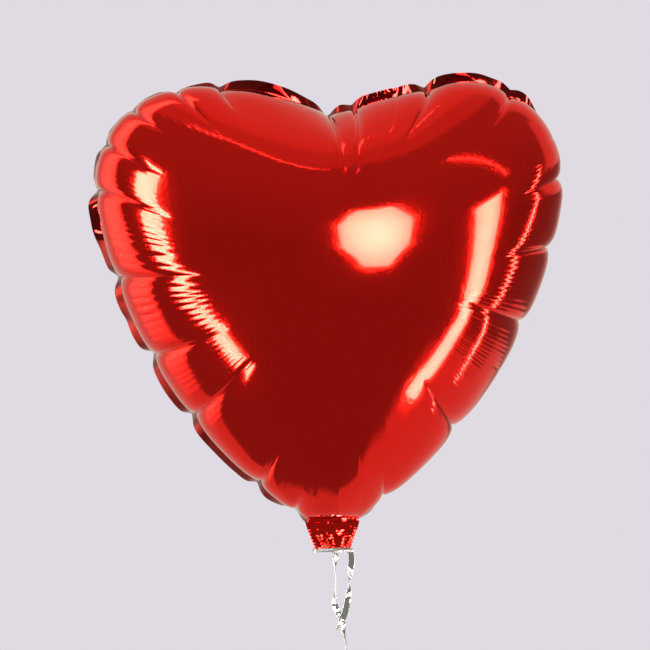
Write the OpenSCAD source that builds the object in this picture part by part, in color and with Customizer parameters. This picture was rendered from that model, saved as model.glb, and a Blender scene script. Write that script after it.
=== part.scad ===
// Heart-shaped foil balloon on a curling ribbon.
// Two thin metallised films are heat-sealed round a heart outline and filled with gas.
// The filling neck at the bottom holds a flat self-sealing valve and is tied off with ribbon.
// Origin: middle of the ribbon tie round the neck. +Z runs up the heart, -Y is the front.

/* [Heart] */
// Width across the seam edge of the filled heart
heart_w = 396; // [340:1:420]
// Height of the lobes above the tie
heart_top = 390; // [375:1:410]
// Height of the notch between the lobes above the tie
notch_z = 366; // [345:1:372]
// Radius of each upper lobe
lobe_r = 87; // [80:1:94]
// Radius of the long curve down each side
side_r = 405; // [380:5:600]
// Depth of the filled balloon, front to back
fill_depth = 178; // [120:1:200]
// Width of the flat heat-sealed seam
seam_w = 9; // [6:0.5:12]
// Thickness that stands for one film
film_t = 0.6; // [0.5:0.1:1]

/* [Puckers] */
// How far a pillow between two creases stands out
pillow_h = 5; // [0:0.5:8]
// How flat the middle of each face is
face_power = 2; // [2:0.1:4]
// How upright the film leaves the seam
side_power = 2.3; // [2:0.1:3]
// How much shallower the dome is towards its sides
side_taper = 0.1; // [0:0.01:0.2]
// How much shallower still it is towards the lobes and the tip
end_taper = 0.25; // [0:0.01:0.4]
// Pillows between the neck and the lobe on each side
side_pillows = 6; // [4:1:8]
// Pillows round each lobe
lobe_pillows = 5; // [3:1:7]
// Pillows between the lobe and the notch
shoulder_pillows = 2; // [1:1:3]

/* [Neck] */
// Width of the neck where it leaves the heart
neck_w = 45; // [36:1:50]
// Height of the neck's upper end above the tie
neck_z = 20; // [18:1:26]
// Width of the neck where it is gathered by the tie
tie_w = 30; // [26:1:34]
// Height of the pleats at the tie
pleat_h = 1.5; // [0.5:0.1:1.6]
// Pleats across the neck
pleats = 4; // [2:1:6]
// Width of the flat valve
valve_w = 24; // [16:1:24]
// Length of the flat valve inside the balloon
valve_len = 126; // [80:1:160]
// Thickness that stands for one valve film
valve_t = 0.3; // [0.2:0.05:0.3]

/* [Ribbon] */
// Width of the curling ribbon
ribbon_w = 5; // [4:0.5:6]
// Thickness that stands for the ribbon
ribbon_t = 0.6; // [0.4:0.1:1]
// Radius of the knot under the tie
tie_knot_r = 2.2; // [1.8:0.1:2.4]
// Radius of the knot that closes the loop
loop_knot_r = 2.5; // [2:0.1:3]
// Inner radius of the hand loop
hand_loop_r = 12; // [9:0.5:14]

/* [Hidden] */

foil_red = [0.62, 0.02, 0.03];
foil_silver = [0.78, 0.78, 0.80];
valve_clear = [0.85, 0.88, 0.90];

// Columns of the panel mesh along each stretch of half the outline
pillow_cols = 4;
neck_cols = 8;
side_cols = pillow_cols * side_pillows;
lobe_cols = pillow_cols * lobe_pillows;
shoulder_cols = pillow_cols * shoulder_pillows;
half_cols = neck_cols + side_cols + lobe_cols + shoulder_cols;
cols = 2 * half_cols;

// Rings of the panel mesh from the middle to the rim
rings = 12;
half_depth = fill_depth / 2;
face_centre = [0, 0.64 * heart_top];
smooth_span = 9;

// Half the gap between the two films in the neck, at its top and at the tie
mouth_gap = 2.6;
tie_gap = 0.7;
neck_rows = 8;
neck_bottom = -2;

// Outline: a side arc and a lobe arc that meet in one tangent, then a straight shoulder
corner = [neck_w / 2, neck_z];
lobe_c = [heart_w / 2 - lobe_r, heart_top - lobe_r];
to_corner = corner - lobe_c;
centre_gap = side_r - lobe_r;
corner_turn = acos(
    (centre_gap * centre_gap + to_corner * to_corner - side_r * side_r)
    / (2 * centre_gap * norm(to_corner))
);
side_dir = atan2(to_corner.y, to_corner.x) - corner_turn;
side_c = lobe_c + centre_gap * [cos(side_dir), sin(side_dir)];
join_a = side_dir + 180;
to_lobe = lobe_c - [0, notch_z];
shoulder_a = atan2(to_lobe.y, to_lobe.x) + asin(lobe_r / norm(to_lobe));

// Places on the ribbon
tie_knot_c = [2.5, 0, -ribbon_w / 2 - tie_knot_r];
loop_knot_c = [7.5, 0, -61.5];
hand_knot_c = [7.8, 0, -105.8];
hand_loop_c = [7.5, 0, -120.6];
wrap_inner = [tie_w / 2 + 0.6, 3.4];

// Routes of the ribbon, [x, z] from the top down in the plane y = 0
left_route = [
    [2.5, -7.3], [2.2, -11], [1.9, -15], [1.7, -19], [1.9, -23], [2.3, -27], [2.5, -31], [2.2, -35],
    [1.5, -39], [1.1, -42.5], [1.3, -46], [2.1, -49.5], [3.4, -53], [5, -56.5], [6.6, -60]
];
right_route = [
    [15, -2.8], [15.5, -6], [15.7, -10], [15.4, -14], [14.9, -18], [14.4, -22], [14, -26], [13.7, -30],
    [13.4, -34], [13, -38], [12.5, -42], [11.9, -46], [11, -50], [10, -54], [8.9, -57.5], [8.2, -60]
];
line_route = [
    [7.6, -64.4], [7.9, -67], [8.4, -70], [9, -73], [9.6, -76], [10.1, -79], [10.5, -82], [10.7, -85],
    [10.7, -88], [10.4, -91], [9.9, -94], [9.3, -97], [8.7, -100], [8.2, -102.5], [7.9, -105]
];
tail_route = [[6.4, -62.4], [5.4, -63.6], [4.4, -65], [3.4, -66.6], [2.6, -68.4]];

// ---- outline ----

// Start of the side arc when the outline is drawn in by d
function side_start(d) = asin((neck_z + d - side_c.y) / (side_r - d));

function corner_x(d) = side_c.x + (side_r - d) * cos(side_start(d));

function around(c, r, a) = c + r * [cos(a), sin(a)];

// Half the heart outline drawn in by d, from the middle of the neck up the right to the notch
function half_outline(d) =
    let (
        start = side_start(d),
        shoulder = around(lobe_c, lobe_r - d, 90 + shoulder_a),
        notch = [0, notch_z - d / cos(shoulder_a)]
    )
    concat(
        [for (i = [0:neck_cols - 1]) [corner_x(d) * i / neck_cols, neck_z + d]],
        [for (i = [0:side_cols - 1]) around(side_c, side_r - d, start + (join_a - start) * i / side_cols)],
        [for (i = [0:lobe_cols - 1])
            around(lobe_c, lobe_r - d, join_a + (90 + shoulder_a - join_a) * i / lobe_cols)],
        [for (i = [0:shoulder_cols]) shoulder + (notch - shoulder) * i / shoulder_cols]
    );

function outline(d) =
    let (half = half_outline(d))
    concat(half, [for (i = [half_cols - 1:-1:1]) [-half[i].x, half[i].y]]);

// Column number counted from the neck, the same on both sides
function from_neck(i) = min(i, cols - i);

// 0 on a crease and 1 in the middle of a pillow
function pillow(i) =
    let (n = from_neck(i) - neck_cols)
    n <= 0 ? 0 : sin(180 * (n % pillow_cols) / pillow_cols);

// Half the open gap of the neck at a place x across a width w
function gap(x, w, middle) = middle * (1 - pow(min(1, 2 * abs(x) / w), 6));

function mouth_lift(i, p) = from_neck(i) < neck_cols ? gap(p.x, neck_w, mouth_gap) : 0;

function total(v) = [for (p = v) 1] * v;

// Each outline point from the face centre, averaged with its neighbours
function smoothed(v) = [
    for (i = [0:cols - 1])
        total([for (j = [-smooth_span:smooth_span]) v[(i + j + cols) % cols]]) / (2 * smooth_span + 1)
];

// ---- panel ----

// One ring of the dome at angle a: 0 is the middle of the face and 90 is the rim
function dome_ring(rim, soft, a, base) =
    let (
        t = pow(sin(a), 2 / face_power),
        depth = (half_depth - film_t) * pow(cos(a), 2 / side_power),
        edge = pow(t, 3),
        bulge = 2.2 * pow(sin(a), 4) * sqrt(cos(a))
    )
    [for (i = [0:cols - 1])
        let (
            reach = soft[i] * (1 - edge) + rim[i] * edge,
            swell = bulge * pillow_h * pillow(i),
            p = face_centre + reach * t * (1 + swell / norm(reach)),
            upright = pow(reach.y / norm(reach), 2),
            taper = t * t * (side_taper + end_taper * upright),
            lift = mouth_lift(i, rim[i] + face_centre) * pow(sin(a), 12)
        )
        [p.x, -(base + lift + depth * (1 - taper)), p.y]
    ];

// One ring of the flat seam, drawn in by d, at a height above the seam plane
function seam_ring(d, h) =
    let (line = outline(d))
    [for (i = [0:cols - 1]) [line[i].x, -(h + mouth_lift(i, line[i])), line[i].y]];

function dome(d, base) =
    let (
        rim = [for (p = outline(d)) p - face_centre],
        soft = smoothed(rim)
    )
    [for (k = [1:rings]) dome_ring(rim, soft, 90 * k / rings, base)];

// Faces of a solid made of n closed rings with m points each between two end points
function lofted_faces(n, m) = concat(
    [for (i = [0:m - 1]) [0, 1 + (i + 1) % m, 1 + i]],
    [for (k = [0:n - 2], i = [0:m - 1])
        let (a = 1 + k * m + i, b = 1 + k * m + (i + 1) % m)
        each [[a, b, b + m], [a, b + m, a + m]]],
    [for (i = [0:m - 1])
        let (last = 1 + (n - 1) * m)
        [last + i, last + (i + 1) % m, n * m + 1]]
);

// A solid through closed rings, from the point start to the point end
module loft(start, ring_list, end) {
    polyhedron(
        points = concat([start], [for (r = ring_list) each r], [end]),
        faces = lofted_faces(len(ring_list), len(ring_list[0])),
        convexity = 6
    );
}

// One face of the heart with its half of the seam, bulging towards -Y
module panel() {
    outer = dome(seam_w, film_t);
    inner = dome(seam_w + film_t, 0);
    loft(
        [face_centre.x, -half_depth, face_centre.y],
        concat(
            outer,
            [seam_ring(0, film_t), seam_ring(0, 0)],
            [for (k = [rings - 1:-1:0]) inner[k]]
        ),
        [face_centre.x, -(half_depth - film_t), face_centre.y]
    );
}

// ---- neck ----

// Distance of the neck film from the seam plane at column i of row k, pleats included
function neck_point(i, k) =
    let (
        down = k / neck_rows,
        ease = down * down * (3 - 2 * down),
        w = neck_w + (tie_w - neck_w) * ease,
        across = i / neck_cols - 1,
        x = across * w / 2,
        z = neck_z + (neck_bottom - neck_z) * down,
        pleat = pleat_h * ease * (1 - pow(across, 4)) * (0.5 - 0.5 * cos(360 * pleats * across))
    )
    [x, -(gap(x, w, mouth_gap + (tie_gap - mouth_gap) * ease) + pleat), z];

// Ring round the section of the neck film at row k: outer face, then inner face back
function neck_ring(k) = concat(
    [for (i = [0:2 * neck_cols]) neck_point(i, k) - [0, film_t, 0]],
    [for (i = [2 * neck_cols:-1:0]) neck_point(i, k)]
);

function middle(ring) = total(ring) / len(ring);

// A sheet between closed section rings, each capped by strips straight across the film
module film_strip(ring_list) {
    m = len(ring_list[0]);
    n = len(ring_list);
    half = m / 2;
    top = [for (i = [0:half - 2]) each [[i, i + 1, m - 2 - i], [i, m - 2 - i, m - 1 - i]]];
    walls = [for (k = [0:n - 2], i = [0:m - 1])
        let (a = k * m + i, b = k * m + (i + 1) % m)
        each [[a, b + m, b], [a, a + m, b + m]]];
    bottom = [for (f = top) [f[0] + (n - 1) * m, f[2] + (n - 1) * m, f[1] + (n - 1) * m]];
    polyhedron(points = [for (r = ring_list) each r], faces = concat(top, walls, bottom), convexity = 8);
}

module neck_half() {
    film_strip([for (k = [0:neck_rows]) neck_ring(k)]);
}

// One flat film of the valve, lying against the seam plane on its -Y side
module valve_sheet() {
    clearance = 0.05;
    translate([-valve_w / 2, -valve_t - clearance, 1])
        cube([valve_w, valve_t, valve_len]);
}

// ---- ribbon ----

// Section of the ribbon at route point i, turned about its run by twist
function ribbon_ring(route, i, twist, y) =
    let (
        before = route[max(i - 1, 0)],
        after = route[min(i + 1, len(route) - 1)],
        run = (after - before) / norm(after - before),
        side = [-run.y, 0, run.x],
        wide = side * cos(twist) + [0, sin(twist), 0],
        thick = [0, cos(twist), 0] - side * sin(twist)
    )
    [for (a = [0:45:315])
        [route[i].x, y, route[i].y] + wide * cos(a) * ribbon_w / 2 + thick * sin(a) * ribbon_t / 2];

// Ribbon along a route in a plane y, turning by turn degrees from one end to the other
module ribbon(route, turn, y = 0) {
    n = len(route);
    ring_list = [for (i = [0:n - 1]) ribbon_ring(route, i, turn * i / (n - 1), y)];
    loft(middle(ring_list[0]), ring_list, middle(ring_list[n - 1]));
}

// Flat outline with round ends
module slot_shape(half_w, half_h) {
    square([2 * (half_w - half_h), 2 * half_h], center = true);
    for (s = [-1, 1])
        translate([s * (half_w - half_h), 0])
            circle(half_h, $fn = 48);
}

// ---- sub-parts ----

module front_panel() {
    color(foil_red) panel();
}

module back_panel() {
    color(foil_red) mirror([0, 1, 0]) panel();
}

module neck_front() {
    color(foil_red) neck_half();
}

module neck_back() {
    color(foil_red) mirror([0, 1, 0]) neck_half();
}

module valve_sheet_front() {
    color(valve_clear) valve_sheet();
}

module valve_sheet_back() {
    color(valve_clear) mirror([0, 1, 0]) valve_sheet();
}

// Ribbon wound round the gathered neck
module ribbon_wrap() {
    color(foil_silver)
        translate([0, 0, -ribbon_w / 2])
            linear_extrude(ribbon_w)
                difference() {
                    slot_shape(wrap_inner.x + ribbon_t, wrap_inner.y + ribbon_t);
                    slot_shape(wrap_inner.x, wrap_inner.y);
                }
}

module tie_knot() {
    color(foil_silver) translate(tie_knot_c) sphere(tie_knot_r, $fn = 32);
}

module loop_strand_left() {
    color(foil_silver) ribbon(left_route, 180);
}

module loop_strand_right() {
    color(foil_silver) ribbon(right_route, -180);
}

module loop_knot() {
    color(foil_silver) translate(loop_knot_c) sphere(loop_knot_r, $fn = 32);
}

// Cut end of the ribbon that sticks out of the loop knot in front
module loop_tail() {
    color(foil_silver) ribbon(tail_route, 30, y = -1.9);
}

module ribbon_line() {
    color(foil_silver) ribbon(line_route, 180);
}

module hand_knot() {
    color(foil_silver) translate(hand_knot_c) sphere(loop_knot_r, $fn = 32);
}

module hand_loop() {
    color(foil_silver)
        translate(hand_loop_c)
            rotate([90, 0, 0])
                difference() {
                    cylinder(h = ribbon_w, r = hand_loop_r + ribbon_t, center = true, $fn = 96);
                    cylinder(h = ribbon_w + 1, r = hand_loop_r, center = true, $fn = 96);
                }
}

front_panel();
back_panel();
neck_front();
neck_back();
valve_sheet_front();
valve_sheet_back();
ribbon_wrap();
tie_knot();
loop_strand_left();
loop_strand_right();
loop_knot();
loop_tail();
ribbon_line();
hand_knot();
hand_loop();
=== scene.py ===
"""Heart-shaped foil balloon on a curling ribbon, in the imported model's frame (metres, +Z up, -Y front)."""
from math import cos, pi, radians, sin

import bpy
import numpy as np
from mathutils import Matrix, Vector, noise


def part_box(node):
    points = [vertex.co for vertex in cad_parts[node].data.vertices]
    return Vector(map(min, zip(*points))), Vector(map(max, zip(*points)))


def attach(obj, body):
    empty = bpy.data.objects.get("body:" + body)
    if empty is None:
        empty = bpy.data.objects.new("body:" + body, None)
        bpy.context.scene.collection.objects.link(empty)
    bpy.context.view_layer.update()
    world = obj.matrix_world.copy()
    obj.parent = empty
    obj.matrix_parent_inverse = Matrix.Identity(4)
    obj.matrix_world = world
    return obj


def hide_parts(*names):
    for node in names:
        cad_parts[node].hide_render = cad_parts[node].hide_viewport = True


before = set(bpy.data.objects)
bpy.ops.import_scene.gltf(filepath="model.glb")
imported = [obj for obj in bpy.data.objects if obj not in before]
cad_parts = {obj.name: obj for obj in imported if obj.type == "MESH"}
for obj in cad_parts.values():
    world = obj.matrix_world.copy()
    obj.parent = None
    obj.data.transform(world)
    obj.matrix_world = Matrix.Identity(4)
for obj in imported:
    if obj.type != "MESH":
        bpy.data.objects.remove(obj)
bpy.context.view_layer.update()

scene = bpy.context.scene

# ---------------------------------------------------------------- places read from the frame

panel_low, panel_high = (np.array(corner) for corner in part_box("front_panel"))
neck_low, neck_high = (np.array(corner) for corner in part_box("neck_front"))
wrap_low, wrap_high = (np.array(corner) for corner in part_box("ribbon_wrap"))


def box_centre(node):
    low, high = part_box(node)
    return (np.array(low) + np.array(high)) / 2


# ---------------------------------------------------------------- driving sizes, in metres

HALF_WIDTH = panel_high[0]
TOP = panel_high[2]
HALF_DEPTH = -panel_low[1]
NECK_Z = panel_low[2]
NECK_HALF = neck_high[0]
NOTCH_DEPTH = 0.024
NOTCH_Z = TOP - NOTCH_DEPTH
LOBE_R = 0.087
SIDE_R = 0.405
SEAM = 0.009
FACE_CENTRE = np.array([0.0, 0.64 * TOP])
FILM = 0.0003

# Shape of each face: how upright it leaves the seam, how much it slopes to the sides and the ends, its
# swell inside the seam, and how far its level lines are averaged at the rim, near the tip and in the middle
SIDE_POWER = 2.25
SIDE_TAPER = 0.08
END_TAPER = 0.22
RIM_SWELL, SWELL_RISE, SWELL_REACH = 0.0015, 0.010, 0.070
RIM_SMOOTHING = 0.060
TIP_SMOOTHING = 0.018
MIDDLE_SMOOTHING = 0.240
MOUTH_GAP = 0.0026

# Pillows and creases: a pillow is flat-topped, its height is also limited to a share of its width, and it
# fades within a share of its reach. A crease widens inwards. The film follows the seam over SEAM_PULL
PILLOW_HEIGHT, PILLOW_RISE, PILLOW_STEEPNESS = 0.0048, 0.008, 0.12
PILLOW_FLATNESS, PILLOW_FADE = 4.5, 0.55
CREASE_DEPTH, CREASE_WIDTH, CREASE_WIDENING = 0.0017, 0.0010, 0.008
SEAM_PULL = 0.016

# Mesh of each face: spacing of its columns round the seam, rings from the rim to the middle, seam rows
COLUMN_STEP = 0.00075
RINGS = 72
SEAM_ROWS = 7

# Creases that run in from the seam: (share of the way from the neck to the notch, reach, strength), and
# (reach, strength) for the two at the notch and the tip
RIGHT_CREASES = [
    (0.045, 0.040, 0.8), (0.188, 0.085, 1.0), (0.29, 0.045, 0.3), (0.366, 0.095, 1.0),
    (0.481, 0.080, 0.75), (0.583, 0.070, 1.0), (0.645, 0.035, 0.45), (0.737, 0.060, 0.9),
    (0.862, 0.075, 1.0), (0.905, 0.066, 0.5), (0.965, 0.095, 0.9),
]
LEFT_CREASES = [
    (0.022, 0.030, 0.7), (0.088, 0.060, 0.9), (0.224, 0.095, 1.0), (0.328, 0.095, 1.0),
    (0.388, 0.045, 0.3), (0.447, 0.095, 1.0), (0.575, 0.085, 1.0), (0.645, 0.060, 0.9),
    (0.71, 0.050, 0.9), (0.782, 0.060, 0.9), (0.848, 0.040, 0.8),
]
NOTCH_CREASE = (0.095, 1.0)
TIP_CREASE = (0.036, 0.7)

# The film over the neck lies closer to the seam: by what share, and how far to each side
TIP_PINCH = 0.8
TIP_SPREAD = 0.062

# Places as shares of the way from the neck up the right side, 1 at the notch and 2 at the neck again,
# most of them with a spread. The seam is crinkled, tucked in behind the pillows, raised over them, folded
# further to the back, and opened out flat or half flat
CRINKLED = (0.30, 0.93, 1.37)
TUCKED = ((0.60, 0.10), (1.21, 0.07))
RAISED = ((1.09, 0.06),)
FOLDED = ((0.16, 0.09), (0.34, 0.14), (0.60, 0.12), (1.30, 0.12))
OPEN_SEAM = ((0.73, 0.03), (0.82, 0.045), (0.93, 0.05), (1.09, 0.055), (1.465, 0.03))
HALF_OPEN_SEAM = ((1.60, 0.06), (1.74, 0.05), (1.86, 0.07))

# Where the fine gathers reach further in, stand wider apart, are deeper, and nearly vanish, and the
# spacing of the fine gathers, of the wide ones and of the softer folds under them
LONG_GATHERS = ((0.36, 0.16), (0.93, 0.06), (1.64, 0.16))
WIDE_GATHERS = ((1.55, 0.13),)
DEEP_GATHERS = ((0.34, 0.12), (1.56, 0.12))
SMOOTH = ((0.0, 0.06), (0.68, 0.035), (0.80, 0.045), (1.11, 0.08), (1.33, 0.07), (2.03, 0.10))
FINE_GATHER = 0.0045
WIDE_GATHER = 0.0086
BROAD_GATHER = 0.0131

# The seam's fold to the back in radians: its usual angle, what the places above and the creases add or
# take away, and its limits
SEAM_ANGLE = 0.95
FOLDED_MORE = 0.35
OPENED = 1.1
HALF_OPENED = 0.45
CREASE_FOLD = 0.6
ANGLE_LIMITS = (-0.2, 1.35)

# The seam in its own plane: moved out everywhere, with each pillow, in where tucked, out where raised, and
# in at the creases
SEAM_OUT = 0.0021
PILLOW_PUSH = 0.15
TUCK = 0.0030
RAISE = 0.0060
CREASE_DRAW = 0.0036

# Buckling of the seam: a slow wander, a kink at each crease and the crinkled places. It leans to the back
# by a share of its width where it points right and where it points up
SLOW_BUCKLE = 0.0006
KINK, KINK_REACH = 0.0009, 0.006
CRINKLE, CRINKLE_STEP = 0.0016, 0.0083
SEAM_LEAN = np.array([-0.12, -0.20])

# By what share of the half width the right side stands further out and the left side further in
WIDER_RIGHT = 0.010

# Crushed foil: its height on the neck and on the lip over it, the neck's pleats, the hollow of each half
# at the tie, the most the tie leaves of it, and which piece of the noise each film is cut from
NECK_CRUSH = 0.0008
LIP_CRUSH = 0.0009
NECK_PLEAT = 0.0004
TIE_GAP = 0.0012
TIE_HALF_DEPTH = 0.0026
FRONT_NOISE, BACK_NOISE = 3.1, 8.7

# Routes of the ribbon, (x, z) from the top down in the plane y = 0
LEFT_ROUTE = [
    (0.0025, -0.0073), (0.0022, -0.011), (0.0019, -0.015), (0.0017, -0.019), (0.0019, -0.023),
    (0.0023, -0.027), (0.0025, -0.031), (0.0022, -0.035), (0.0015, -0.039), (0.0011, -0.0425),
    (0.0013, -0.046), (0.0021, -0.0495), (0.0034, -0.053), (0.005, -0.0565), (0.0066, -0.06),
]
RIGHT_ROUTE = [
    (0.015, -0.0028), (0.0155, -0.006), (0.0157, -0.01), (0.0154, -0.014), (0.0149, -0.018),
    (0.0144, -0.022), (0.014, -0.026), (0.0137, -0.03), (0.0134, -0.034), (0.013, -0.038),
    (0.0125, -0.042), (0.0119, -0.046), (0.011, -0.05), (0.01, -0.054), (0.0089, -0.0575), (0.0082, -0.06),
]
LINE_ROUTE = [
    (0.0076, -0.0644), (0.0079, -0.067), (0.0084, -0.07), (0.009, -0.073), (0.0096, -0.076),
    (0.0101, -0.079), (0.0105, -0.082), (0.0107, -0.085), (0.0107, -0.088), (0.0104, -0.091),
    (0.0099, -0.094), (0.0093, -0.097), (0.0087, -0.1), (0.0082, -0.1025), (0.0079, -0.105),
]
RIBBON_W = 0.005
RIBBON_T = 0.00025
WRAP_W = 0.003


# ---------------------------------------------------------------- camera

def heading(azimuth, elevation):
    """Unit vector towards a place in the room: azimuth 0 is straight in front, positive to the right."""
    a, e = radians(azimuth), radians(elevation)
    return Vector((sin(a) * cos(e), -cos(a) * cos(e), sin(e)))


def place_camera():
    """Looks at the front of the heart from a little to the left and a little above."""
    roll = radians(-0.6)
    target = Vector((-0.0045, 0.0, 0.187))
    distance = 2.2
    away = heading(-8, 6)
    data = bpy.data.cameras.new("camera")
    data.lens = 148
    data.sensor_width = 36
    camera = bpy.data.objects.new("camera", data)
    scene.collection.objects.link(camera)
    turn = (-away).to_track_quat("-Z", "Y").to_matrix().to_4x4()
    camera.matrix_world = Matrix.Translation(target + away * distance) @ turn @ Matrix.Rotation(roll, 4, "Z")
    scene.camera = camera


place_camera()


# ---------------------------------------------------------------- node material helpers

def new_material(name):
    material = bpy.data.materials.new(name)
    material.use_nodes = True
    tree = material.node_tree
    shader = tree.nodes["Principled BSDF"]
    return material, tree, shader


def add_node(tree, kind, **settings):
    node = tree.nodes.new(kind)
    for key, value in settings.items():
        setattr(node, key, value)
    return node


def feed(tree, value, socket):
    """Gives an input a plain number or colour, or links it to another node's output."""
    if isinstance(value, bpy.types.NodeSocket):
        tree.links.new(value, socket)
    else:
        socket.default_value = value


def noise_texture(tree, vector, scale, detail=3.0, distortion=0.0):
    node = add_node(tree, "ShaderNodeTexNoise")
    node.inputs["Scale"].default_value = scale
    node.inputs["Detail"].default_value = detail
    node.inputs["Roughness"].default_value = 0.5
    node.inputs["Distortion"].default_value = distortion
    tree.links.new(vector, node.inputs["Vector"])
    return node.outputs["Fac"]


def map_range(tree, value, low, high, to_low, to_high):
    node = add_node(tree, "ShaderNodeMapRange")
    node.inputs["From Min"].default_value = low
    node.inputs["From Max"].default_value = high
    node.inputs["To Min"].default_value = to_low
    node.inputs["To Max"].default_value = to_high
    tree.links.new(value, node.inputs["Value"])
    return node.outputs["Result"]


def bump(tree, height, strength, distance, normal=None):
    node = add_node(tree, "ShaderNodeBump")
    node.inputs["Strength"].default_value = strength
    node.inputs["Distance"].default_value = distance
    tree.links.new(height, node.inputs["Height"])
    if normal is not None:
        tree.links.new(normal, node.inputs["Normal"])
    return node.outputs["Normal"]


def mix_colour(tree, factor, first, second):
    """Colour that goes from first to second as factor goes from 0 to 1."""
    node = add_node(tree, "ShaderNodeMix", data_type="RGBA")
    tree.links.new(factor, node.inputs[0])
    feed(tree, first, node.inputs[6])
    feed(tree, second, node.inputs[7])
    return node.outputs[2]


def blend(tree, factor, first, second):
    """Number that goes from first to second as factor goes from 0 to 1."""
    node = add_node(tree, "ShaderNodeMix", data_type="FLOAT")
    tree.links.new(factor, node.inputs[0])
    feed(tree, first, node.inputs[2])
    feed(tree, second, node.inputs[3])
    return node.outputs[0]


def arithmetic(tree, operation, first, second):
    node = add_node(tree, "ShaderNodeMath", operation=operation)
    feed(tree, first, node.inputs[0])
    feed(tree, second, node.inputs[1])
    return node.outputs[0]


def coordinates(tree, kind):
    return add_node(tree, "ShaderNodeTexCoord").outputs[kind]


# ---------------------------------------------------------------- materials

LACQUER_DEEP = (0.58, 0.0052, 0.0028, 1)
LACQUER_BRIGHT = (0.66, 0.0075, 0.0040, 1)
# Painted shade: the dark red that the seam rows of the foil faces are turned to
SEAM_PAINTED_SHADE = (0.16, 0.0030, 0.0020, 1)
METAL_DULL = (0.42, 0.42, 0.45, 1)
METAL_BRIGHT = (0.52, 0.52, 0.55, 1)


def red_foil():
    """Mirror-metallised film under transparent red lacquer, finely wrinkled, with painted shade that darkens
    the seam.
    """
    material, tree, shader = new_material("red_foil")
    spot = coordinates(tree, "Object")
    cloud = noise_texture(tree, spot, 9.0)
    grain = noise_texture(tree, spot, 420.0, detail=4.0)
    wrinkle = noise_texture(tree, spot, 55.0, detail=2.0, distortion=0.4)
    lacquer = mix_colour(tree, cloud, LACQUER_DEEP, LACQUER_BRIGHT)
    share = add_node(tree, "ShaderNodeSeparateXYZ")
    tree.links.new(coordinates(tree, "UV"), share.inputs[0])
    # Painted shade: the seam rows, where UV Y is above 0, go over to the dark red
    seam_painted_shade = map_range(tree, share.outputs["Y"], 0.0, 0.15, 0.0, 1.0)
    tree.links.new(mix_colour(tree, seam_painted_shade, lacquer, SEAM_PAINTED_SHADE), shader.inputs["Base Color"])
    tree.links.new(map_range(tree, cloud, 0.3, 0.7, 0.055, 0.075), shader.inputs["Roughness"])
    fine = bump(tree, grain, 0.10, 0.0004)
    tree.links.new(bump(tree, wrinkle, 0.12, 0.0008, fine), shader.inputs["Normal"])
    shader.inputs["Metallic"].default_value = 1.0
    shader.inputs["Coat Weight"].default_value = 0.7
    shader.inputs["Coat IOR"].default_value = 1.2
    shader.inputs["Coat Roughness"].default_value = 0.04
    return material


def silver_ribbon():
    """Bright metallised curling ribbon with fine lengthwise ribs and slightly duller scuffs."""
    material, tree, shader = new_material("silver_ribbon")
    cloud = noise_texture(tree, coordinates(tree, "Object"), 160.0)
    ribs = add_node(tree, "ShaderNodeTexWave", wave_type="BANDS", bands_direction="X")
    ribs.inputs["Scale"].default_value = 6.0
    tree.links.new(coordinates(tree, "UV"), ribs.inputs["Vector"])
    tree.links.new(mix_colour(tree, cloud, METAL_DULL, METAL_BRIGHT), shader.inputs["Base Color"])
    tree.links.new(map_range(tree, cloud, 0.3, 0.7, 0.03, 0.07), shader.inputs["Roughness"])
    tree.links.new(bump(tree, ribs.outputs["Fac"], 0.04, 0.0001), shader.inputs["Normal"])
    shader.inputs["Metallic"].default_value = 1.0
    return material


FOIL = red_foil()
RIBBON = silver_ribbon()


# ---------------------------------------------------------------- mesh helpers

def mesh_object(name, points, faces, material, uv=None):
    mesh = bpy.data.meshes.new(name)
    mesh.from_pydata([tuple(p) for p in points], [], faces)
    mesh.polygons.foreach_set("use_smooth", [True] * len(mesh.polygons))
    if uv is not None:
        layer = mesh.uv_layers.new(name="UVMap")
        corners = np.empty(len(mesh.loops), dtype=np.int32)
        mesh.loops.foreach_get("vertex_index", corners)
        layer.data.foreach_set("uv", np.asarray(uv, dtype=np.float32)[corners].ravel())
    mesh.materials.append(material)
    mesh.update()
    obj = bpy.data.objects.new(name, mesh)
    scene.collection.objects.link(obj)
    return obj


def grid_faces(rows, cols, wrap, flip):
    """Quads of a rows by cols grid of points, joined round its columns if wrap is true."""
    i, j = np.meshgrid(np.arange(rows - 1), np.arange(cols if wrap else cols - 1), indexing="ij")
    k = (j + 1) % cols
    quads = np.stack([i * cols + j, i * cols + k, (i + 1) * cols + k, (i + 1) * cols + j], axis=-1)
    quads = quads.reshape(-1, 4)
    return (quads[:, ::-1] if flip else quads).tolist()


def place(obj, body, slot, *nodes):
    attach(obj, body)
    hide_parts(*nodes)


# ---------------------------------------------------------------- ribbon

def unit(v):
    return v / np.linalg.norm(v)


def smooth_route(points, per_span):
    """Catmull-Rom curve through the route's points, (n, 3)."""
    p = np.array(points)
    p = np.vstack([2 * p[0] - p[1], p, 2 * p[-1] - p[-2]])
    out = []
    for a, b, c, d in zip(p, p[1:], p[2:], p[3:]):
        for t in np.arange(per_span) / per_span:
            bend = (2 * a - 5 * b + 4 * c - d) * t**2 + (3 * b - a - 3 * c + d) * t**3
            out.append(0.5 * (2 * b + (c - a) * t + bend))
    out.append(p[-2])
    return np.array(out)


def across_y(point, run):
    """Side direction of a ribbon that faces the front."""
    return unit(np.cross(run, (0.0, 1.0, 0.0)))


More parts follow.
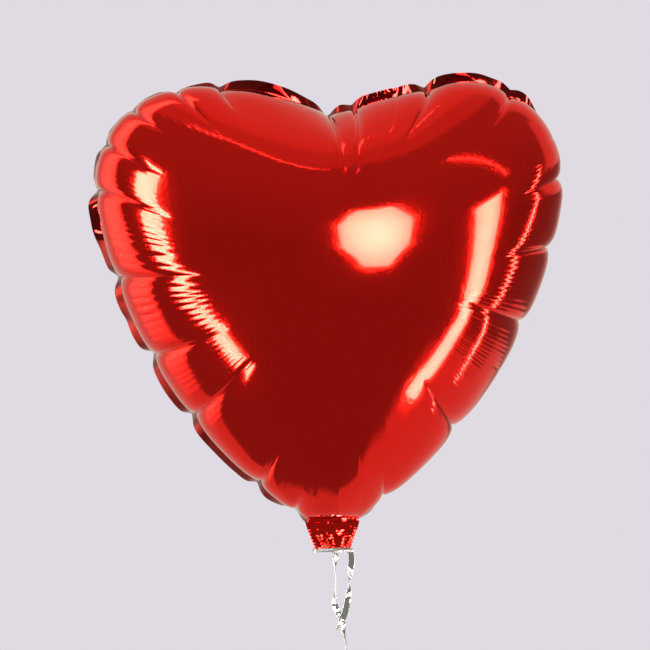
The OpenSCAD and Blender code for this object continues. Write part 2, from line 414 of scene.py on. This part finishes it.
def ribbon_mesh(name, line, twist, side_of=across_y, width=RIBBON_W, cup=0.03, closed=False):
    """A flat ribbon along a line, turned about it by twist(share) and slightly cupped across its width."""
    n = len(line)
    across = np.array([-1.0, -0.96, -0.7, -0.35, 0.0, 0.35, 0.7, 0.96, 1.0])
    section = [(a, 0.5) for a in across] + [(a, -0.5) for a in across[::-1]]
    points, uv = [], []
    for i in range(n):
        before = line[i - 1] if closed or i else line[0]
        after = line[(i + 1) % n] if closed or i < n - 1 else line[-1]
        run = unit(after - before)
        side = side_of(line[i], run)
        front = np.cross(side, run)
        angle = twist(i / (n - 1))
        wide = side * cos(angle) + front * sin(angle)
        thick = front * cos(angle) - side * sin(angle)
        for a, t in section:
            raised = t * RIBBON_T + cup * width * (a * a - 0.33) / 2
            points.append(line[i] + wide * a * width / 2 + thick * raised)
            uv.append((a * 0.5 + 0.5, i / (n - 1)))
    m = len(section)
    faces = grid_faces(n + closed, m, True, False)
    if closed:
        faces = [[v % (n * m) for v in face] for face in faces]
    else:
        faces += [list(range(m))[::-1], [(n - 1) * m + k for k in range(m)]]
    return mesh_object(name, points, faces, RIBBON, uv)


def free_ribbon(name, route, twist, body, with_pieces):
    """One free stretch of the ribbon, a flat strip along its route that ends at a knot."""
    line = smooth_route([(x, 0.0, z) for x, z in route], 6)
    piece = ribbon_mesh(name + "_ribbon", line, twist)
    place(piece, body, "silver_ribbon", name)


def knot(name, body, radius, tilt):
    """A tight overhand knot: the ribbon folded narrow along a small trefoil."""
    centre = box_centre(name)
    turn = np.array(Matrix.Rotation(tilt, 3, "Z") @ Matrix.Rotation(radians(80), 3, "X"))
    t = np.linspace(0, 2 * pi, 90, endpoint=False)
    across, up = np.sin(t) + 2 * np.sin(2 * t), np.cos(t) - 2 * np.cos(2 * t)
    trefoil = np.stack([across, up, -1.6 * np.sin(3 * t)], axis=1)
    line = centre + (trefoil * radius / 3.4) @ turn.T
    piece = ribbon_mesh(
        name + "_ribbon", line,
        twist=lambda s: 0.5 * sin(6 * pi * s),
        side_of=lambda p, run: unit(np.cross(run, p - centre + 1e-6)),
        width=0.62 * radius, cup=0.1, closed=True,
    )
    place(piece, body, "silver_ribbon", name)
    return piece


def round_wrap():
    """Two turns of ribbon round the gathered neck, the upper one slightly askew."""
    half = (wrap_high - wrap_low) / 2
    end_r = half[1] - 0.0003
    straight = half[0] - half[1]
    line = []
    turns, steps = 2, 96
    for i in range(turns * steps):
        a = 2 * pi * i / steps
        x = np.sign(cos(a)) * straight * min(1.0, abs(cos(a)) * 1.6) + end_r * cos(a)
        lift = 0.0005 * sin(a + 0.4) + 0.0004 * (i / steps - 1)
        grow = 0.00035 * (i / (turns * steps) - 0.5)
        line.append((x, (end_r + grow) * sin(a) + 0.0001 * sin(5 * a), lift))
    piece = ribbon_mesh(
        "wrap_ribbon", np.array(line),
        twist=lambda s: 0.7 + 0.1 * sin(20 * s),
        side_of=lambda p, run: np.array((0.0, 0.0, 1.0)),
        width=WRAP_W, cup=0.02,
    )
    place(piece, "balloon", "silver_ribbon", "ribbon_wrap")


def cut_tail():
    """The cut end of the ribbon that sticks out of the loop knot in front."""
    line = smooth_route([
        (0.0064, -0.0019, -0.0624), (0.0054, -0.0021, -0.0636), (0.0044, -0.0022, -0.065),
        (0.0034, -0.002, -0.0666), (0.0026, -0.0017, -0.0684),
    ], 5)
    piece = ribbon_mesh("loop_tail_ribbon", line, lambda s: 0.3 + 0.9 * s)
    place(piece, "ribbon_loop", "silver_ribbon", "loop_tail")
    return piece


def end_loop():
    """The hand loop: the ribbon brought round and knotted on itself."""
    low, high = (np.array(corner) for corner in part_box("hand_loop"))
    centre = (low + high) / 2
    radius = (high[0] - low[0]) / 2 - 0.0003
    a = np.linspace(0, 2 * pi, 160, endpoint=False)
    wobble = radius * (1 + 0.012 * np.sin(2 * a + 0.7) + 0.008 * np.sin(5 * a))
    line = centre + np.stack([wobble * np.sin(a), 0.0004 * np.sin(3 * a), wobble * np.cos(a)], axis=1)
    piece = ribbon_mesh(
        "hand_loop_ribbon", line,
        twist=lambda s: 0.16 * sin(2 * pi * s),
        side_of=lambda p, run: np.array((0.0, 1.0, 0.0)),
        closed=True,
    )
    place(piece, "ribbon_end", "silver_ribbon", "hand_loop")
    return piece


round_wrap()
knot("tie_knot", "balloon", 0.0030, 0.4)
loop_knot = knot("loop_knot", "ribbon_loop", 0.0033, 1.1)
hand_knot = knot("hand_knot", "ribbon_end", 0.0033, 2.0)
free_ribbon(
    "loop_strand_left", LEFT_ROUTE, lambda s: 0.2 + 3.4 * s + 0.5 * sin(9 * s),
    "ribbon_loop", [loop_knot, cut_tail()],
)
free_ribbon(
    "loop_strand_right", RIGHT_ROUTE, lambda s: -3.6 * s + 0.5 * sin(7 * s),
    "ribbon_loop", [loop_knot],
)
free_ribbon(
    "ribbon_line", LINE_ROUTE, lambda s: 3.1 * s + 0.4 * sin(8 * s),
    "ribbon_end", [hand_knot, end_loop()],
)


# ---------------------------------------------------------------- heart outline

LOBE_C = np.array([HALF_WIDTH - LOBE_R, TOP - LOBE_R])


def outline_arcs():
    """Centre of the side arc, the angle where it meets the lobe, and the slope of the shoulder line."""
    to_corner = np.array([NECK_HALF, NECK_Z]) - LOBE_C
    reach = SIDE_R - LOBE_R
    far = np.linalg.norm(to_corner)
    turn = np.arccos((reach**2 + far**2 - SIDE_R**2) / (2 * reach * far))
    towards = np.arctan2(to_corner[1], to_corner[0]) - turn
    side_c = LOBE_C + reach * np.array([cos(towards), sin(towards)])
    to_lobe = LOBE_C - np.array([0, NOTCH_Z])
    shoulder = np.arctan2(to_lobe[1], to_lobe[0]) + np.arcsin(LOBE_R / np.linalg.norm(to_lobe))
    join = towards + pi
    return side_c, join if join < pi else join - 2 * pi, shoulder


SIDE_C, JOIN_A, SHOULDER_A = outline_arcs()


def on_arc(centre, radius, angles):
    return centre + radius * np.stack([np.cos(angles), np.sin(angles)], axis=1)


def segment_counts():
    """How many columns the side arc, the lobe and the shoulder line get."""
    start = np.arcsin((NECK_Z - SIDE_C[1]) / SIDE_R)
    lengths = (
        SIDE_R * (JOIN_A - start),
        LOBE_R * (pi / 2 + SHOULDER_A - JOIN_A),
        np.linalg.norm(LOBE_C + LOBE_R * np.array([-sin(SHOULDER_A), cos(SHOULDER_A)]) - (0, NOTCH_Z)),
    )
    return [max(4, round(length / COLUMN_STEP)) for length in lengths]


SIDE_N, LOBE_N, SHOULDER_N = segment_counts()
HALF_N = SIDE_N + LOBE_N + SHOULDER_N
NECK_N = round(2 * NECK_HALF / COLUMN_STEP)


def half_outline(d):
    """Right half of the outline drawn in by d, from the neck corner up to just before the notch."""
    start = np.arcsin((NECK_Z + d - SIDE_C[1]) / (SIDE_R - d))
    top = pi / 2 + SHOULDER_A
    side = on_arc(SIDE_C, SIDE_R - d, np.linspace(start, JOIN_A, SIDE_N, endpoint=False))
    lobe = on_arc(LOBE_C, LOBE_R - d, np.linspace(JOIN_A, top, LOBE_N, endpoint=False))
    tangent = on_arc(LOBE_C, LOBE_R - d, np.array([top]))[0]
    notch = np.array([0, NOTCH_Z - d / cos(SHOULDER_A)])
    share = np.linspace(0, 1, SHOULDER_N, endpoint=False)[:, None]
    return np.vstack([side, lobe, tangent + (notch - tangent) * share]), notch


def outline(d):
    """The whole outline drawn in by d: right side up, notch, left side down, then along the neck."""
    half, notch = half_outline(d)
    left = (half * (-1, 1))[::-1]
    x = half[0, 0]
    neck = np.stack([np.linspace(-x, x, NECK_N + 2)[1:-1], np.full(NECK_N, NECK_Z + d)], axis=1)
    return np.vstack([half, notch, left, neck])


# Cut edge and inner edge of the seam, column by column, and the distance of each column round the heart
EDGE = outline(0.0)
RIM = outline(SEAM)
COLS = len(RIM)
OUTWARD = (EDGE - RIM) / np.linalg.norm(EDGE - RIM, axis=1)[:, None]
ARC = np.r_[0, np.cumsum(np.linalg.norm(np.diff(EDGE, axis=0), axis=1))]
HALF_ARC = ARC[HALF_N]
IS_NECK = np.arange(COLS) > 2 * HALF_N
LOOP = ARC[-1] + COLUMN_STEP


# ---------------------------------------------------------------- creases, pillows and ripples

def smoothstep(low, high, value):
    t = np.clip((value - low) / (high - low), 0, 1)
    return t * t * (3 - 2 * t)


def wander(position, wavelength, seed):
    """A smooth, repeatable wandering line between about -1 and 1."""
    rng = np.random.default_rng(seed)
    total = np.zeros_like(position)
    for _ in range(5):
        wave = wavelength * rng.uniform(0.6, 1.8)
        total += np.sin(2 * pi * position / wave + rng.uniform(0, 2 * pi))
    return total / 2.6


def wander_2d(a, b, wavelength, seed):
    """The same over a surface."""
    rng = np.random.default_rng(seed)
    total = np.zeros_like(a)
    for _ in range(7):
        wave = wavelength * rng.uniform(0.6, 1.7)
        course = rng.uniform(0, 2 * pi)
        total += np.sin(2 * pi * (a * cos(course) + b * sin(course)) / wave + rng.uniform(0, 2 * pi))
    return total / 3.2


def crease_list():
    """Every crease as (arc position, reach, strength), in order round the heart."""
    right = [(share * HALF_ARC, reach, strength) for share, reach, strength in RIGHT_CREASES]
    left = [((2 - share) * HALF_ARC, reach, strength) for share, reach, strength in LEFT_CREASES]
    return sorted(right + left + [(HALF_ARC, *NOTCH_CREASE), (2 * HALF_ARC + NECK_HALF, *TIP_CREASE)])


CREASES = crease_list()


def pillow_profile():
    """How far each column's pillow stands out, and how far in from the seam it reaches."""
    major = [c for c in CREASES if c[2] >= 0.7 and c[0] < 2 * HALF_ARC]
    major.append((major[0][0] + LOOP, *major[0][1:]))
    arc = np.where(ARC < major[0][0], ARC + LOOP, ARC)
    height = np.zeros(COLS)
    reach = np.zeros(COLS)
    for (a, reach_a, _), (b, reach_b, _) in zip(major, major[1:]):
        inside = (arc >= a) & (arc < b)
        q = (arc[inside] - a) / (b - a)
        highest = min(PILLOW_HEIGHT, PILLOW_STEEPNESS * (b - a))
        height[inside] = highest * (1 - np.abs(2 * q - 1) ** PILLOW_FLATNESS)
        reach[inside] = reach_a * (1 - q) + reach_b * q
    return height, reach


PILLOW, PILLOW_REACH = pillow_profile()


def around(arc, places):
    """1 at each of the places, given as shares of the way round, and 0 well away from them."""
    return sum(np.exp(-(((arc / HALF_ARC - share) / width) ** 2)) for share, width in places)


def crease_cut(arc, rho):
    """Depth of the narrow valley along every crease."""
    cut = np.zeros_like(rho)
    for position, reach, strength in CREASES:
        drift = 0.05 * rho * sin(40 * position)
        away = np.abs(arc - position - drift)
        width = CREASE_WIDTH + CREASE_WIDENING * rho
        along = np.clip(1 - rho / reach, 0, 1) ** 0.6 * smoothstep(0.0, 0.006, rho + 0.003)
        cut += CREASE_DEPTH * strength * along * np.exp(-away / width)
    return cut


def near_crease(arc, rho):
    """1 on a crease and 0 away from it: the fine gathers are deepest beside the creases."""
    near = np.zeros_like(rho)
    for position, _, strength in CREASES:
        near = np.maximum(near, strength * np.exp(-(((arc - position) / 0.014) ** 2)))
    return near


def ripples(arc, rho, seed):
    """Fine radial gathers in a band well inside the seam, over a few softer folds."""
    warp = arc + 0.0015 * wander_2d(arc, rho, 0.045, seed) + 0.004 * wander(arc, 0.16, seed + 5)
    wide = around(arc, WIDE_GATHERS)
    deep = around(arc, DEEP_GATHERS)
    turns = np.cumsum(COLUMN_STEP / (FINE_GATHER + (WIDE_GATHER - FINE_GATHER) * wide[:1]), axis=1)
    phase = pi * (turns + (warp - arc) / FINE_GATHER)
    fine = np.sin(2 * phase) * (1 - wide) + (2 * np.abs(np.cos(phase)) - 1) * wide
    broad = np.sin(2 * pi * warp / BROAD_GATHER + 1.5 * wander(arc, 0.09, seed + 2))
    uneven = 0.55 + 0.45 * wander_2d(arc, rho, 0.06, seed + 3) + 0.5 * near_crease(arc, rho)
    patch = (1 - 0.85 * around(arc, SMOOTH)) * np.clip(uneven, 0.1, 1.4)
    limit = 0.070 + 0.026 * around(arc, LONG_GATHERS) + 0.006 * wander(arc, 0.06, seed + 4)
    band = smoothstep(0.014, 0.040, rho) * (1 - smoothstep(0.75 * limit, 1.08 * limit, rho))
    fine_height = 0.000026 + 0.00008 * deep + 0.00020 * wide
    broad_height = 0.000022 + 0.00005 * deep
    return (fine_height * fine + broad_height * broad) * patch * band


def seam_wave(v):
    """How far the seam buckles to the back, v = 0 at the film's fold and 1 at the cut edge."""
    slow = wander(ARC, 0.055, 31) * SLOW_BUCKLE
    crinkled = around(ARC, [(share, 0.045) for share in CRINKLED])
    phase = pi * ARC / CRINKLE_STEP + 3 * wander(ARC, 0.03, 32) + 1.2 * v
    quick = np.abs(np.sin(phase)) * CRINKLE * crinkled
    kink = np.zeros(COLS)
    for k, (position, _, strength) in enumerate(CREASES):
        kink += (-1) ** k * strength * KINK * np.exp(-np.abs(ARC - position) / KINK_REACH)
    lean = SEAM * (OUTWARD @ SEAM_LEAN)
    return np.where(IS_NECK, 0.0, v * (lean + slow + kink + quick))


def seam_fold():
    """Angle by which the seam is folded to the back, in radians."""
    pinched = np.zeros(COLS)
    for position, _, strength in CREASES:
        pinched = np.maximum(pinched, strength * np.exp(-(((ARC - position) / 0.007) ** 2)))
    opened = OPENED * around(ARC, OPEN_SEAM) + HALF_OPENED * around(ARC, HALF_OPEN_SEAM)
    angle = SEAM_ANGLE + FOLDED_MORE * around(ARC, FOLDED) - opened + 0.12 * wander(ARC, 0.05, 33)
    return np.where(IS_NECK, 0.0, np.clip(angle + CREASE_FOLD * pinched, *ANGLE_LIMITS))


def seam_draw():
    """How far the seam is moved out in its own plane."""
    out = PILLOW_PUSH * PILLOW + SEAM_OUT - TUCK * around(ARC, TUCKED) + RAISE * around(ARC, RAISED)
    for position, _, strength in CREASES:
        out = out - CREASE_DRAW * max(strength - 0.3, 0.0) * np.exp(-np.abs(ARC - position) / 0.0075)
    return np.where(IS_NECK, 0.0, out)


# ---------------------------------------------------------------- foil faces

def circular_mean(values, half_span):
    """Each value averaged with its neighbours round the loop."""
    window = 2 * half_span + 1
    joined = np.vstack([values[-half_span:], values, values[:half_span]])
    sums = np.vstack([np.zeros((1, values.shape[1])), np.cumsum(joined, axis=0)])
    return (sums[window:] - sums[:-window]) / window


def tip_share(near, far):
    """1 within near of the middle of the neck, going round the outline, and 0 beyond far."""
    off = np.abs(ARC - 2 * HALF_ARC - NECK_HALF)
    return 1 - np.clip((np.minimum(off, LOOP - off) - near) / (far - near), 0, 1)


def dome_base():
    """Smooth dome from the rim (row 0) almost to the middle, as (rows, columns, 3) on the front side."""
    rim = RIM - FACE_CENTRE
    tip = tip_share(0.03, 0.12)[:, None]
    soft = circular_mean(rim, round(RIM_SMOOTHING / COLUMN_STEP)) * (1 - tip)
    soft += circular_mean(rim, round(TIP_SMOOTHING / COLUMN_STEP)) * tip
    middle = circular_mean(soft, round(MIDDLE_SMOOTHING / COLUMN_STEP))
    middle *= np.linalg.norm(soft, axis=1).mean() / np.linalg.norm(middle, axis=1).mean()
    angle = np.radians(np.linspace(90, 0.7, RINGS))[:, None, None]
    t = np.sin(angle)
    edge = t**4
    inner = middle * (1 - t**2) + soft * t**2
    reach = inner * (1 - edge) + rim * edge
    flat = FACE_CENTRE + reach * t
    upright = (reach[..., 1:] ** 2).sum(axis=2, keepdims=True) / (reach**2).sum(axis=2, keepdims=True)
    taper = t**2 * (SIDE_TAPER + END_TAPER * upright)
    depth = HALF_DEPTH * np.cos(angle) ** (2 / SIDE_POWER) * (1 - taper)
    across = np.minimum(1, np.abs(RIM[:, 0]) / NECK_HALF)
    lift = np.where(IS_NECK, MOUTH_GAP * (1 - across**6), 0.0)[None, :, None] * t**12
    return np.concatenate([flat[..., :1], -(depth + lift), flat[..., 1:]], axis=2)


def surface_normals(rows):
    along = np.roll(rows, -1, axis=1) - np.roll(rows, 1, axis=1)
    inward = np.gradient(rows, axis=0)
    normal = np.cross(along, inward)
    normal /= np.linalg.norm(normal, axis=2)[..., None] + 1e-12
    return normal if normal[RINGS // 2, :, 1].mean() < 0 else -normal


def tip_pinch(rho):
    """Share of its depth that each point keeps: the heart's tip rises in a straight slope from the neck."""
    ridge = 0.35 + 0.65 * (1 - tip_share(0.0, NECK_HALF))
    return 1 - TIP_PINCH * ridge * tip_share(0.4 * TIP_SPREAD, TIP_SPREAD) * np.exp(-rho / 0.020)


def crumple(x, z, seed):
    """Sharp little facets of crushed foil."""
    total = 0.0
    for size, height in ((0.013, 1.0), (0.0062, 0.55), (0.0033, 0.16)):
        total += height * abs(noise.noise(Vector((x / size, z / size, seed))))
    return total


def lip_crush(flat, seed):
    """The crushed lip over the neck, and nothing along the rest of the seam."""
    crush = np.zeros(COLS)
    for k in np.flatnonzero(IS_NECK):
        x, z = flat[k]
        crush[k] = crumple(x, 0.8 * z, seed) * (1 - abs(x / NECK_HALF) ** 8)
    return crush


def rim_distance(base):
    """How far in from the rim each point lies, measured over the face."""
    steps = np.linalg.norm(np.diff(base, axis=0), axis=2)
    return np.vstack([np.zeros((1, COLS)), np.cumsum(steps, axis=0)])


def face_relief(base, rho, seed):
    """Height of the swell, the pillows, the creases, the gathers and a few soft dents over the dome."""
    arc = np.broadcast_to(ARC, rho.shape)
    inward = np.exp(-((rho / (PILLOW_FADE * PILLOW_REACH)) ** 2))
    pillow = PILLOW * (1 - np.exp(-rho / PILLOW_RISE)) * inward
    swell = RIM_SWELL * (1 - np.exp(-rho / SWELL_RISE)) * np.exp(-((rho / SWELL_REACH) ** 2))
    relief = swell + pillow - crease_cut(arc, rho) + ripples(arc, rho, seed)
    relief += 0.00012 * wander_2d(base[..., 0], base[..., 2], 0.11, seed + 7) * smoothstep(0.03, 0.09, rho)
    mouth = np.where(IS_NECK, 1 - (np.abs(RIM[:, 0]) / NECK_HALF) ** 6, 0.0)
    return relief * (1 - mouth * (1 - smoothstep(0.0, 0.008, rho)))


def seam_rows(rim_y, front):
    """The seam from its cut edge in to the rim, on the front side, folded back, buckled and crushed."""
    side, seed = (1, FRONT_NOISE) if front else (-1, BACK_NOISE)
    rows = []
    for v in np.linspace(1, 0, SEAM_ROWS, endpoint=False):
        flat = RIM + OUTWARD * (SEAM * v * np.cos(seam_fold()) + seam_draw())[:, None]
        back = SEAM * v * np.sin(seam_fold())
        y = rim_y - LIP_CRUSH * v * lip_crush(flat, seed) + side * (seam_wave(v) + back)
        rows.append(np.stack([flat[:, 0], y, flat[:, 1]], axis=1))
    return np.array(rows)


def face_uv(count):
    """Share of the way round, and of the way out over the seam where the films are joined, which places the
    painted shade on the seam, with the middle point last.
    """
    seam_share = np.zeros((count, COLS))
    seam_share[:SEAM_ROWS] = np.linspace(1, 0, SEAM_ROWS, endpoint=False)[:, None] * ~IS_NECK
    round_share = np.broadcast_to(ARC / LOOP, seam_share.shape)
    return np.vstack([np.stack([round_share, seam_share], axis=-1).reshape(-1, 2), (0.0, 0.0)])


def foil_face(name, front):
    """One film of the heart: its half of the seam, its creased rim and its smooth middle."""
    base = dome_base()
    rho = rim_distance(base)
    base[..., 1] *= tip_pinch(rho)
    relief = face_relief(base, rho, 100 if front else 200)
    dome = base + surface_normals(base) * relief[..., None]
    pull = np.stack([OUTWARD[:, 0] * seam_draw(), np.zeros(COLS), OUTWARD[:, 1] * seam_draw()], axis=1)
    dome = dome + pull * np.exp(-rho / SEAM_PULL)[..., None]
    rows = np.concatenate([seam_rows(dome[0, :, 1], front), dome], axis=0)
    rows[..., 1] -= FILM / 2
    rows[..., 0] += WIDER_RIGHT * rows[..., 0] ** 2 / HALF_WIDTH
    if not front:
        rows = rows * (1, -1, 1)
    count = len(rows)
    points = np.vstack([rows.reshape(-1, 3), rows[-1].mean(axis=0)[None]])
    faces = grid_faces(count, COLS, True, not front)
    last = (count - 1) * COLS
    middle = count * COLS
    ring = [(last + k, last + (k + 1) % COLS, middle) for k in range(COLS)]
    faces += [face if front else face[::-1] for face in ring]
    piece = mesh_object(name + "_foil", points, faces, FOIL, face_uv(count))
    place(piece, "balloon", "red_foil", name)


foil_face("front_panel", True)
foil_face("back_panel", False)


# ---------------------------------------------------------------- neck

def neck_film(name, front):
    """Half of the gathered neck, pleated down to the tie and crushed all over."""
    cols, rows = 110, 80
    top, bottom = NECK_Z + 0.003, neck_low[2] - 0.0002
    tie_half = wrap_high[0] - 0.0016
    side, seed = (-1, FRONT_NOISE) if front else (1, BACK_NOISE)
    points = []
    for k in range(rows):
        down = k / (rows - 1)
        ease = down**1.6 * (2.1 - 1.1 * down)
        half = NECK_HALF * (1 - ease) + tie_half * ease
        z = top + (bottom - top) * down
        held = smoothstep(0.55, 0.8, down)
        for i in range(cols):
            u = 2 * i / (cols - 1) - 1
            x = u * half + 0.0009 * sin(60 * down + 3 * u) * down
            lens = (1 - abs(u) ** 2.4) * (MOUTH_GAP * (1 - ease) + TIE_GAP * ease)
            fan = u * (2.4 + 0.5 * sin(2.6 * u + seed)) + 0.22 * sin(6 * down + 2 * u)
            pleat = NECK_PLEAT * (0.25 + ease) * (1 - u**4) * (1 - cos(2 * pi * fan))
            crush = NECK_CRUSH * crumple(x, 0.8 * z, seed) * (1 - abs(u) ** 4)
            out = 0.0004 + lens + pleat + crush
            squeeze = min(1.0, TIE_HALF_DEPTH / out) * held + 1 - held
            lean = 0.0008 * sin(9 * down + 2 * seed) * down * (1 - down)
            points.append((x, side * out * squeeze + lean, z))
    piece = mesh_object(name + "_foil", points, grid_faces(rows, cols, False, front), FOIL)
    place(piece, "balloon", "red_foil", name)


neck_film("neck_front", True)
neck_film("neck_back", False)


# ---------------------------------------------------------------- floor, world and lights

FLOOR_RADIUS, FLOOR_Z, FLOOR_SIDES = 0.9, -0.62, 96
LIGHT_DISTANCE = 4.0
LIGHT_CENTRE = Vector((0, 0, 0.22))

# Colours: the wall that the camera sees, the lights and the room in reflections, the light on the floor
SEEN_WALL = (0.745, 0.705, 0.765, 1)
WARM_WHITE = (1.0, 0.97, 0.82, 1)
SOFT_WHITE = (1.0, 0.97, 0.93, 1)

# Brightness of the room in reflections, and of the light on the floor
ROOM, CEILING_EDGE, CEILING, WALL = 0.38, 0.52, 0.80, 1.02
LEFT_CORNER, LEFT_WALL, FLOOR_LEVEL, BACK_WALL = 1.1, 5.60, 0.92, 0.76
DARK_SIDE = 0.32
SOFT_LIGHT = 0.95

# Parts of the right wall: brightness, azimuths in degrees, heights as the z of a unit direction
RIGHT_WALL_PARTS = (
    (DARK_SIDE, (58, 150), (-0.45, 0.06)),
    (WALL, (82, 150), (0.10, 0.60)),
    (WALL, (45, 150), (-2.0, -0.55)),
)


def floor():
    """Plain pale floor well below the floating heart."""
    angles = [2 * pi * k / FLOOR_SIDES for k in range(FLOOR_SIDES)]
    points = [(FLOOR_RADIUS * cos(a), FLOOR_RADIUS * sin(a), FLOOR_Z) for a in angles]
    material, tree, shader = new_material("pale_floor")
    cloud = noise_texture(tree, coordinates(tree, "Object"), 3.0)
    colour = mix_colour(tree, cloud, (0.72, 0.70, 0.73, 1), (0.76, 0.74, 0.77, 1))
    tree.links.new(colour, shader.inputs["Base Color"])
    shader.inputs["Roughness"].default_value = 0.85
    plate = mesh_object("floor", points, [list(range(FLOOR_SIDES))], material)
    plate.visible_glossy = False


def glow(name, strength, edge_share):
    """Warm white emission that fades from the middle of a card, UV 0.5, to edge_share at its border."""
    material = bpy.data.materials.new(name)
    material.use_nodes = True
    tree = material.node_tree
    tree.nodes.clear()
    offset = add_node(tree, "ShaderNodeVectorMath", operation="DISTANCE")
    offset.inputs[1].default_value = (0.5, 0.5, 0)
    tree.links.new(coordinates(tree, "UV"), offset.inputs[0])
    level = map_range(tree, offset.outputs["Value"], 0.15, 0.5, strength, strength * edge_share)
    emit = add_node(tree, "ShaderNodeEmission")
    emit.inputs["Color"].default_value = WARM_WHITE
    tree.links.new(level, emit.inputs["Strength"])
    both = add_node(tree, "ShaderNodeAddShader")
    tree.links.new(emit.outputs[0], both.inputs[0])
    tree.links.new(add_node(tree, "ShaderNodeBsdfTransparent").outputs[0], both.inputs[1])
    tree.links.new(both.outputs[0], add_node(tree, "ShaderNodeOutputMaterial").inputs["Surface"])
    return material


def light_card(name, points, uv, strength, edge_share):
    """A card seen only in reflections."""
    corners = [LIGHT_CENTRE + p for p in points]
    card = mesh_object(name, corners, [list(range(len(points)))], glow(name, strength, edge_share), uv)
    card.visible_camera = False
    card.visible_diffuse = False
    card.visible_shadow = False


def light_strip(name, start, end, width, strength, edge_share=0.6):
    """A long card from one heading to another, width degrees across."""
    a, b = LIGHT_DISTANCE * heading(*start), LIGHT_DISTANCE * heading(*end)
    half = (b - a).cross(a + b).normalized() * LIGHT_DISTANCE * radians(width) / 2
    uv = [(0.0, 0.5), (0.0, 0.5), (1.0, 0.5), (1.0, 0.5)]
    light_card(name, [a - half, b - half, b + half, a + half], uv, strength, edge_share)


def light_disc(name, towards, radius, corners, strength, edge_share):
    """A flat card with that many corners, radius (across, up) in degrees from its middle."""
    way = heading(*towards)
    turn = way.to_track_quat("Z", "Y").to_matrix()
    angles = [pi / corners + k * 2 * pi / corners for k in range(corners)]
    wide, high = (LIGHT_DISTANCE * radians(r) for r in radius)
    points = [way * LIGHT_DISTANCE + turn @ Vector((wide * cos(a), high * sin(a), 0)) for a in angles]
    light_card(name, points, [(0.5 + 0.5 * cos(a), 0.5 + 0.5 * sin(a)) for a in angles], strength, edge_share)


def window(tree, value, low, high, soft):
    """1 where value lies between low and high, with soft edges."""
    rise = map_range(tree, value, low - soft, low + soft, 0.0, 1.0)
    fall = map_range(tree, value, high - soft, high + soft, 1.0, 0.0)
    return arithmetic(tree, "MULTIPLY", rise, fall)


def between(tree, azimuth, left, right):
    """1 where azimuth lies between left and right, both in degrees, with soft edges."""
    return window(tree, azimuth, radians(left), radians(right), radians(3))


def room_level(tree):
    """Brightness of the studio in each direction. A window that starts at -2 or ends at 2 is open there."""
    split = add_node(tree, "ShaderNodeSeparateXYZ")
    tree.links.new(coordinates(tree, "Generated"), split.inputs[0])
    x, y, z = split.outputs
    level = map_range(tree, z, 0.1, 0.65, ROOM, CEILING_EDGE)
    level = blend(tree, window(tree, z, 0.84, 2.0, 0.02), level, CEILING)
    level = blend(tree, window(tree, z, 0.955, 2.0, 0.012), level, WALL)
    level = blend(tree, window(tree, y, 0.04, 2.0, 0.05), level, WALL)
    azimuth = arithmetic(tree, "ARCTAN2", x, arithmetic(tree, "MULTIPLY", y, -1.0))
    left_wall = map_range(tree, azimuth, radians(-120), radians(-94), LEFT_CORNER, LEFT_WALL)
    left_wall = blend(tree, window(tree, z, -0.50, 2.0, 0.25), WALL, left_wall)
    level = blend(tree, between(tree, azimuth, -150, -77), level, left_wall)
    for value, sides, heights in RIGHT_WALL_PARTS:
        part = arithmetic(tree, "MULTIPLY", between(tree, azimuth, *sides), window(tree, z, *heights, 0.03))
        level = blend(tree, part, level, value)
    level = blend(tree, window(tree, z, -2.0, -0.965, 0.012), level, FLOOR_LEVEL)
    return blend(tree, window(tree, y, 0.7, 2.0, 0.25), level, BACK_WALL)


def background(tree, colour, strength):
    node = add_node(tree, "ShaderNodeBackground")
    node.inputs["Color"].default_value = colour
    feed(tree, strength, node.inputs["Strength"])
    return node.outputs[0]


def mix_shader(tree, factor, first, second):
    node = add_node(tree, "ShaderNodeMixShader")
    for socket, output in zip(node.inputs, (factor, first, second)):
        tree.links.new(output, socket)
    return node.outputs[0]


def studio_world():
    """The studio round the heart. The camera sees only its plain pale wall, and the floor a plain light."""
    world = bpy.data.worlds.new("studio")
    scene.world = world
    world.use_nodes = True
    tree = world.node_tree
    tree.nodes.clear()
    rays = add_node(tree, "ShaderNodeLightPath").outputs
    room = background(tree, WARM_WHITE, room_level(tree))
    light = mix_shader(tree, rays["Is Diffuse Ray"], room, background(tree, SOFT_WHITE, SOFT_LIGHT))
    shown = mix_shader(tree, rays["Is Camera Ray"], light, background(tree, SEEN_WALL, 1.0))
    tree.links.new(shown, add_node(tree, "ShaderNodeOutputWorld").inputs["Surface"])


floor()
studio_world()
light_disc("octagon_light", (17, 8), (11.5, 17.0), 8, 72.0, 0.5)
light_strip("upper_left_light", (-48, 24), (-55, -15), 9, 66.0, 0.85)
light_strip("lower_left_light", (-53, -14), (-36, -42), 7.5, 60.0)
light_strip("upper_right_light", (49.5, 11), (57, -22), 8, 52.0)
light_strip("lower_right_light", (58, -21), (51, -44), 6.5, 52.0)
light_strip("far_right_light", (75, 11), (75, -40), 1.4, 34.0)
light_strip("top_tube", (-30, 57), (10, 55), 0.9, 6.0)
light_strip("side_tube", (36, 39), (55, 18), 0.9, 5.0)

scene.view_settings.view_transform = "Standard"
